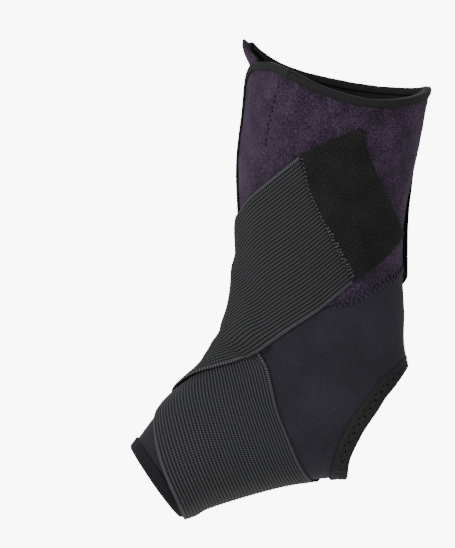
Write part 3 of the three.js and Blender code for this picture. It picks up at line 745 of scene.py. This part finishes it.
def makeSleeve():
    radius, wall = sleeve["turn"] / (2 * math.pi), layers["neoprene"]
    columns = round(sleeve["turn"] / sleeve["aroundCell"])
    rows = round(sleeve["height"] / sleeve["alongCell"])
    bm = bmesh.new()
    bmesh.ops.create_grid(bm, x_segments=columns, y_segments=rows, size=0.5)
    flat = np.array([v.co[:] for v in bm.verts])
    along, around = sleeveSpot(flat[:, 0], flat[:, 1])
    # size is 1 at the edge of the heel hole
    size = np.hypot((along - heelMiddle) / heelHalf, (around - 180) / edges["heelSpread"])
    spots = {v: (along[v.index], around[v.index], size[v.index]) for v in bm.verts}
    inside = [f for f in bm.faces if sum(spots[v][2] for v in f.verts) / 4 < 1]
    bmesh.ops.delete(bm, geom=inside, context="FACES")
    for v in bm.verts:
        a, r, s = spots[v]
        if v.is_boundary and s < sleeve["nearHole"]:
            a, r = heelMiddle + (a - heelMiddle) / s, 180 + (r - 180) / s
        # a tube: the angle holds around, z holds along
        angle = math.radians(r)
        v.co = (radius * math.cos(angle), radius * math.sin(angle), -a * 1000)
    bmesh.ops.remove_doubles(bm, verts=bm.verts, dist=0.001)
    bmesh.ops.recalc_face_normals(bm, faces=bm.faces)
    bmesh.ops.solidify(bm, geom=bm.faces[:], thickness=wall)

    def where(x, y, z):
        isOffCut = np.abs(np.hypot(x, y) - radius) > wall / 2
        a, r = -z / 1000, np.degrees(np.arctan2(y, x))
        return place(a, r, np.where(isOffCut, -wall, 0) + foldLift(formPoint(a, r)))

    def isInner(flat):
        return np.hypot(flat[:, 0], flat[:, 1]) < radius - wall / 2

    piece = bendOnto("jersey_sleeve", bm, where, sleeveCloth, "sleeve", isInner)


makeSleeve()

# Cuff: one sheet of loop pile from the flap round to the panel under it
cuff = {
    "length": 350, "height": 118, "cell": (1.0, 0.95), "flat": (350, 125), "crowding": 1.15, "edgeRound": 1.1,
    # height of the tufts and the nap, and their size
    "tuft": (0.2, 1.6), "nap": (0.35, 11),
    # along and around of needle dimples in a row down the flap, and a dimple's radius and depth
    "dimples": [
        (0.058, 52), (0.068, 50), (0.074, 49), (0.08, 48), (0.085, 48.5), (0.09, 47), (0.095, 48),
        (0.1, 46.5), (0.105, 47.5), (0.11, 46.5), (0.118, 46.5), (0.124, 47),
    ],
    "dimple": (1.2, 0.6),
}


def pileHeight(base):
    (tuft, tuftSize), (patch, patchSize) = cuff["tuft"], cuff["nap"]
    height = softNoise(base, tuftSize, 1) * tuft + softNoise(base, patchSize, 2) * patch
    radius, depth = cuff["dimple"]
    for spot in cuff["dimples"]:
        far = np.linalg.norm(base - formPoint(*spot), axis=1)
        height -= depth * np.exp(-(far / radius) ** 2)
    return height


def makeCuff():
    wall = layers["neoprene"]
    bm = flatCloth(cuff["length"], cuff["height"], cuff["cell"], wall)
    first, last = edges["rim"][0][0], edges["rim"][-1][0]

    def where(x, y, z):
        down = 0.5 - y / cuff["height"]
        column = mix(first, last, x / cuff["length"] + 0.5)
        along, around = cuffPlace(column, down ** cuff["crowding"])
        top = pileHeight(formPoint(along, around))
        fromEnd = cuff["length"] / 2 - np.abs(x)
        drop = edgeDrop(np.minimum(fromEnd, down * cuff["height"]), cuff["edgeRound"])
        depth = panelDepth(along, around)
        return place(along, around, depth + np.where(z > -wall / 2, top - drop, z + 0.9 * drop))

    def isInner(flat):
        return flat[:, 2] < -wall / 2

    piece = bendOnto("pile_cuff", bm, where, pileCloth, "cuff", isInner)


makeCuff()

# Straps: woven elastic with real ribs
strap = {"cell": (2.2, 0.5), "edgeRound": 0.8, "flatEdge": (1.2, 2.4), "reach": 3.5}
tapeLift = layers["tape"] + 2 * layers["gap"]
strapLift = layers["elastic"] + layers["crossGap"]


def tapeSamples(edge, leg):
    along, around, _ = edge
    return formPoint(*shifted(along, around, inwardAt(edge) * leg / 2))


tapes = np.vstack([tapeSamples(toeEdge(2), layers["toeLeg"]), tapeSamples(flapEdge(2), layers["cuffLeg"])])
coverLengths, coverOffsets = gridOf(
    np.linspace(layers["crossStart"] * underStrapRun.length, underStrapRun.length, 100),
    np.linspace(-halfStrap, halfStrap, 26),
)
underCover = formPoint(*underStrapRun.across(coverLengths, coverOffsets))


def strapHeight(points, crosses):  # climbs over the tapes, and over the lower strap where it crosses it
    height = layers["strapGap"] + tapeLift * coveredBy(tapes, points, strap["reach"], layers["ramp"])
    if crosses:
        height += strapLift * coveredBy(underCover, points, strap["reach"], layers["ramp"])
    return height


def makeStrap(name, run, crosses, material, node):
    wall, width, butt = layers["elastic"], layers["strapWidth"], layers["butt"] / 2
    length = run.length - butt
    bm = flatCloth(length, width, strap["cell"], wall)

    def where(x, y, z):
        along, around = run.across(x + length / 2 + butt, -y)
        fromEdge = halfStrap - np.abs(y)
        ribs = rib["height"] * np.cos(2 * np.pi * y / rib["pitch"]) * smoothstep(fromEdge, *strap["flatEdge"])
        top = wall + ribs - 0.7 * edgeDrop(fromEdge, strap["edgeRound"])
        height = strapHeight(formPoint(along, around), crosses)
        return place(along, around, height + np.where(z > -wall / 2, top, 0))

    piece = bendOnto(name, bm, where, material, node)


makeStrap("elastic_strap_under", underStrapRun, False, elasticUnder, "strap_under")
makeStrap("elastic_strap_over", overStrapRun, True, elasticOver, "strap_over")

# Tabs: a hook pad under a brushed backing, whose upper corner is drawn back by its stitches
tab = {"cell": (0.8, 0.8), "drawn": 4.2, "drawnShare": 0.3, "edgeRound": 0.9}
backingHeight = layers["gap"] + max(layers["hook"], layers["elastic"]) + layers["gap"]


def tabOffset(run, reach, at, share):  # share 0 is the tab's upper edge and 1 its lower one
    up = layers["strapWidth"] * mix(reach["up"], reach["endUp"], at / run.length)
    down = layers["strapWidth"] * mix(reach["down"], reach["endDown"], at / run.length)
    return mix(-up, down, share)


def makeTab(name, run, reach, start, height, wall, material, node):
    length = run.length - start
    width = layers["strapWidth"] * (reach["up"] + reach["down"])
    bm = flatCloth(length, width, tab["cell"], wall)

    def where(x, y, z):
        share = 0.5 - y / width
        corner = 1 - smoothstep(share, 0, tab["drawnShare"])
        at = x + length / 2 + start + tab["drawn"] * corner * (0.5 - x / length) ** 3
        along, around = run.across(at, tabOffset(run, reach, at, share))
        fromEdge = np.minimum(width / 2 - np.abs(y), length / 2 - np.abs(x))
        points = formPoint(along, around)
        soft = softNoise(points, 14, 5) * 0.25 + softNoise(points, 2.2, 6) * 0.05
        top = wall + soft - 0.7 * edgeDrop(fromEdge, tab["edgeRound"])
        return place(along, around, height + np.where(z > -wall / 2, top, 0))

    bendOnto(name, bm, where, material, node)


def makeTabLayers(side, run, reach):
    makeTab("hook_pad_" + side, run, reach, layers["butt"], layers["gap"], layers["hook"],
            hookTape, side + "_hook_pad")
    makeTab("tab_backing_" + side, run, reach, -layers["tabLap"], backingHeight, layers["tab"],
            tabCloth, side + "_tab")


makeTabLayers("inner", overTabRun, overTabReach)
makeTabLayers("outer", underTabRun, underTabReach)

# Bindings: a function of the distance along, the reach into the fabric and the height gives lift and pull
heelLine = heelEdge(1.0)
heel = {
    # reach into the fabric, depth and width of the pleats and of the dip at the seam
    "dips": [(0.9, 0.35, 0.35), (2.1, 0.4, 0.4), (4.4, 0.4, 0.9)],
    # how much narrower and lower the tape is at the back of the ankle
    "narrow": 0.25, "sink": 0.9, "sinkFrom": 0.55, "ripple": 0.06,
}
# height, pitch and turn of the puckers, which start at a reach into the fabric
hem = {"puckers": [(0.16, 3.1, 0), (0.1, 4.7, 1)], "start": 0.6}
sewing = {
    "reach": 2.8, "pitch": 3.0, "radius": 0.17, "sunk": 0.12, "rise": 0.2,
    "dip": 0.2, "dipWidth": 0.5, "ripple": 0.05, "ripplePitch": 3.2, "wander": 0.12, "wanderLength": 7.0,
}


def heelWaves(travel, into, height):
    back = smoothstep(np.cos(2 * math.pi * travel / heelLine[2]), heel["sinkFrom"], 1)  # 1 behind the ankle
    lift = heel["ripple"] * np.sin(travel * 2 * math.pi / heelHoles["pitch"]) * (height > 0)
    for at, depth, width in heel["dips"]:
        lift -= depth * np.exp(-((into - at) / width) ** 2) * (height > 0)
    return lift - heel["sink"] * back, -np.maximum(into, 0) * heel["narrow"] * back


def gathered(travel, into, height):  # a narrow hem, puckered by its stitches
    pucker = sum(rise * np.sin(travel * 2 * math.pi / pitch + turn) for rise, pitch, turn in hem["puckers"])
    return pucker * (into > hem["start"]) * (height > 0), np.zeros_like(travel)


def sewn(travel, into, height):  # dips along the stitches near the tape's free edge
    dip = sewing["dip"] * np.exp(-((into - sewing["reach"]) / sewing["dipWidth"]) ** 2)
    dip = dip + sewing["ripple"] * np.sin(travel * 2 * math.pi / sewing["ripplePitch"])
    return -dip * (height > 0), sewing["wander"] * np.sin(travel / sewing["wanderLength"])


def flatForm(along, around):
    return np.zeros_like(along)


binding("heel_tape", heelLine, layers["heelLeg"], layers["heelTapeGap"], True, flatForm,
        heelTape, heelWaves, "heel_binding")
binding("toe_tape", toeEdge(1.5), layers["toeLeg"], layers["gap"], True, flatForm,
        toeTape, gathered, "toe_binding")
binding("flap_tape", flapEdge(1.5), layers["cuffLeg"], layers["gap"], False, panelDepth,
        edgeTape, sewn, "flap_binding")
binding("rim_tape", rimEdge(1.5), layers["cuffLeg"], layers["gap"], False, panelDepth,
        rimTape, sewn, "rim_binding")
print("bindings made")

# Thread work: rows of stitches as fine tubes
def threadWork(name, paths, radius, material):
    curve = bpy.data.curves.new(name, "CURVE")
    curve.dimensions = "3D"
    curve.bevel_depth = radius * mm
    curve.bevel_resolution = 1
    for path in paths:
        spline = curve.splines.new("POLY")
        spline.points.add(len(path) - 1)
        spline.points.foreach_set("co", np.column_stack([path * mm, np.ones(len(path))]).ravel())
    curve.materials.append(material)
    piece = bpy.data.objects.new(name, curve)
    bpy.context.scene.collection.objects.link(piece)
    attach(piece, "root")
    print("made", name, len(paths), "threads")


def zigzag(total, pitch, near, far):  # distance along, offset and rise of each point
    rows = []
    for i in range(int(total / pitch)):
        a, b = (near, far) if i % 2 == 0 else (far, near)
        for t in (0.03, 0.2, 0.5, 0.8, 0.97):
            rows.append(((i + t) * pitch, mix(a, b, t), math.sin(math.pi * t)))
    return np.array(rows)


def runningStitch(total, pitch, offset, start):  # separate stitches in one line, with columns as in zigzag
    t = np.array([0.12, 0.3, 0.5, 0.7, 0.88])
    rise = np.sin(np.pi * (t - t[0]) / (t[-1] - t[0]))
    stitches = []
    for i in range(int(total / pitch)):
        stitches.append(np.column_stack([start + (i + t) * pitch, np.full(len(t), offset), rise]))
    return stitches


def alongSpots(edge, travel, into):
    along, around, total = edge
    at = np.linspace(0, total, len(along))
    inward = inwardAt(edge)
    way = np.column_stack([np.interp(travel, at, inward[:, k]) for k in range(3)])
    return shifted(np.interp(travel, at, along), np.interp(travel, at, around), way * into[:, None])


# Flatlock seam between cuff and sleeve, where no strap or tab lies on it
flatlock = {
    "pitch": 1.6, "near": -2.0, "far": 2.1, "sunk": 0.15, "rise": 0.55, "radius": 0.55,
    "besideStrap": 2.2, "besideTab": 2.0,
}


def liesOpen(points):
    shown = np.ones(len(points), bool)
    for run in (overStrapRun, underStrapRun):
        lengths, offsets = gridOf(np.linspace(0, run.length, 140), np.linspace(-halfStrap, halfStrap, 40))
        samples = formPoint(*run.across(lengths, offsets))
        shown &= coveredBy(samples, points, flatlock["besideStrap"], 0.1) < 0.5
    for run, reach in ((overTabRun, overTabReach), (underTabRun, underTabReach)):
        lengths, share = gridOf(np.linspace(-layers["tabLap"], run.length, 40), np.linspace(0, 1, 50))
        samples = formPoint(*run.across(lengths, tabOffset(run, reach, lengths, share)))
        shown &= coveredBy(samples, points, flatlock["besideTab"], 0.1) < 0.5
    return shown


def makeSeam():
    around = np.linspace(edges["seam"][0][0], 356, 1500)
    line = evenly(alongAt(edges["seam"], around), around, 0.4)
    rows = zigzag(line[2], flatlock["pitch"], flatlock["near"], flatlock["far"])
    along, turn = alongSpots(line, rows[:, 0], rows[:, 1])
    spots = place(along, turn, flatlock["sunk"] + flatlock["rise"] * rows[:, 2])
    shown = liesOpen(formPoint(along, turn))
    breaks = np.flatnonzero(np.diff(shown)) + 1
    paths = [part for part, keep in zip(np.split(spots, breaks), np.split(shown, breaks)) if keep[0]]
    threadWork("flatlock_seam", [p for p in paths if len(p) > 4], flatlock["radius"], seamThread)


makeSeam()

# Stitches that hold each tab on the end of its strap, with short bars toward its lower corner
stitch = {"radius": 0.24, "pitch": 2.4, "bars": 17, "seed": 4}


def makeTabStitches(name, run, reach):
    width = layers["strapWidth"]
    top, low = backingHeight + layers["tab"], layers["strapGap"] + layers["elastic"] + 0.3
    paths = []
    for part in runningStitch(width - 2, stitch["pitch"], -layers["tabLap"], -width / 2 + 1):
        middle = part[1:-1]
        share = 0.5 + middle[:, 0] / width
        at = tab["drawn"] * (1 - smoothstep(share, 0, tab["drawnShare"])) - layers["tabLap"]
        along, around = run.across(at + np.linspace(-0.35, 0.35, 3), middle[:, 0])
        paths.append(place(along, around, mix(low, top, 0.75) + 0.25 * middle[:, 2]))
    loose = random.Random(stitch["seed"])
    t = np.linspace(0, 1, 5)
    for i in range(stitch["bars"]):
        offset = (0.06 + 0.42 * i / stitch["bars"]) * width
        size = loose.uniform(1.0, 1.9)
        at = 0.7 - layers["tabLap"] + loose.uniform(-0.3, 0.3) + size * t
        along, around = run.across(at, offset + loose.uniform(-0.8, 0.8) * t + 0.5 * np.sin(3 * t))
        paths.append(place(along, around, top + 0.35 * np.sin(np.pi * t)))
    threadWork(name, paths, stitch["radius"], paleThread)


makeTabStitches("tab_stitches_inner", overTabRun, overTabReach)
makeTabStitches("tab_stitches_outer", underTabRun, underTabReach)


# Stitches along the flap's tape and the rim's
def makeTapeStitches(name, edge):
    top = layers["gap"] + layers["tape"] - sewing["sunk"]
    paths = []
    for part in runningStitch(edge[2] - 1, sewing["pitch"], sewing["reach"], 0.5):
        along, around = alongSpots(edge, part[:, 0], part[:, 1])
        paths.append(place(along, around, top + sewing["rise"] * part[:, 2] + panelDepth(along, around)))
    threadWork(name, paths, sewing["radius"], blackThread)


makeTapeStitches("flap_tape_stitches", flapEdge(0.5))
makeTapeStitches("rim_tape_stitches", rimEdge(0.5))

# Loose ends of thread: around and count of each bunch on the rim
looseEnds = {"bunches": [(61, 12), (66, 6), (50, 4), (36, 5)], "spread": 2.2, "radius": 0.12, "seed": 9}


def makeLooseEnds():
    loose = random.Random(looseEnds["seed"])
    t = np.linspace(0, 1, 6)[:, None]
    paths = []
    for middle, count in looseEnds["bunches"]:
        for _ in range(count):
            around = middle + loose.uniform(-looseEnds["spread"], looseEnds["spread"])
            along = alongAt(edges["rim"], around) + loose.uniform(-0.002, 0.002)
            root = place(np.array([along]), np.array([around]), np.array([0.6]))[0]
            way = np.array([loose.uniform(-1, 1), loose.uniform(-1, 0.1), loose.uniform(0.2, 1.2)])
            size = loose.uniform(1.2, 3.2)
            curl = np.array([loose.uniform(-0.6, 0.6) for _ in range(3)])
            paths.append(root + way * size * t + curl * size * t * t * np.sin(2.5 * t))
    threadWork("loose_tape_ends", paths, looseEnds["radius"], blackThread)


makeLooseEnds()


def makeDimpleShade():  # painted shade: near-black bits of thread at the bottom of the dimples, which stand for the shade in them
    t = np.linspace(-1, 1, 4)
    paths = []
    for i, (dimpleAlong, dimpleAround) in enumerate(cuff["dimples"]):
        way = np.array([0.3 - 0.2 * (i % 3), 0, 0.5])
        along, around = shifted(np.full(4, dimpleAlong), np.full(4, dimpleAround), t[:, None] * way)
        paths.append(place(along, around, 0.1 - 0.5 * t * t))
    threadWork("flap_dimple_shade", paths, 0.42, dimpleShadeThread)


makeDimpleShade()
print("stitches made")

# Stage, light and camera
stage = {"floor": -0.3, "size": 1.2, "color": "#fafafa"}


def makeFloor():
    bm = bmesh.new()
    bmesh.ops.create_grid(bm, x_segments=2, y_segments=2, size=stage["size"])
    bmesh.ops.translate(bm, vec=(0, 0, stage["floor"]), verts=bm.verts)
    mesh = bpy.data.meshes.new("floor")
    bm.to_mesh(mesh)
    bm.free()
    material, _, shader = newMaterial("pale studio floor", 0.9)
    shader.inputs["Base Color"].default_value = srgb(stage["color"])
    mesh.materials.append(material)
    floor = bpy.data.objects.new("floor", mesh)
    bpy.context.scene.collection.objects.link(floor)


makeFloor()

light = {
    # name, place, size and power of the soft lamps
    "lamps": [
        ("key", (-1.5, -1.3, 0.9), 1.3, 40), ("fill", (1.2, -1.5, 0.5), 1.6, 12),
        ("back", (0.2, 1.6, 1.2), 1.4, 18),
    ],
    "target": (-0.02, 0, 0.04), "sky": 0.6, "backdrop": 9.0,
}


def makeLights():
    for name, spot, size, power in light["lamps"]:
        lamp = bpy.data.lights.new(name, "AREA")
        lamp.size, lamp.energy = size, power
        lampObject = bpy.data.objects.new(name, lamp)
        lampObject.location = spot
        aim = Vector(light["target"]) - Vector(spot)
        lampObject.rotation_euler = aim.to_track_quat("-Z", "Y").to_euler()
        bpy.context.scene.collection.objects.link(lampObject)


def makeWorld():  # even light, with a white backdrop that only the camera sees
    world = bpy.data.worlds.new("studio")
    world.use_nodes = True
    tree = world.node_tree
    sky = tree.nodes["Background"]
    sky.inputs[0].default_value = (1, 1, 1, 1)
    seen = addNode(tree, "ShaderNodeLightPath").outputs["Is Camera Ray"]
    glow = maths(tree, "MULTIPLY", seen, light["backdrop"] - light["sky"])
    tree.links.new(maths(tree, "ADD", glow, light["sky"]), sky.inputs[1])
    bpy.context.scene.world = world


makeLights()
makeWorld()

# width, height and origin in pixels of the photo, a pixel in millimetres, distance in metres
view = {
    "width": 455, "height": 548, "originX": 320, "originY": 345, "pixel": 0.57,
    "distance": 3.0, "elevation": 1.0, "sensor": 36,
}


def makeCamera():
    across = (view["width"] / 2 - view["originX"]) * view["pixel"] * mm
    up = (view["originY"] - view["height"] / 2) * view["pixel"] * mm
    tilt = math.radians(view["elevation"])
    camera = bpy.data.cameras.new("camera")
    camera.sensor_width = view["sensor"]
    camera.lens = view["sensor"] * view["distance"] / (view["height"] * view["pixel"] * mm)
    camera.clip_start, camera.clip_end = 0.05, 50
    cameraObject = bpy.data.objects.new("camera", camera)
    back = Vector((0, -math.cos(tilt), math.sin(tilt)))
    cameraObject.location = Vector((across, 0, up)) + back * view["distance"]
    cameraObject.rotation_euler = (math.pi / 2 - tilt, 0, 0)
    bpy.context.scene.collection.objects.link(cameraObject)
    bpy.context.scene.camera = cameraObject


makeCamera()
print("stage, light and camera made")

print("scene finished")
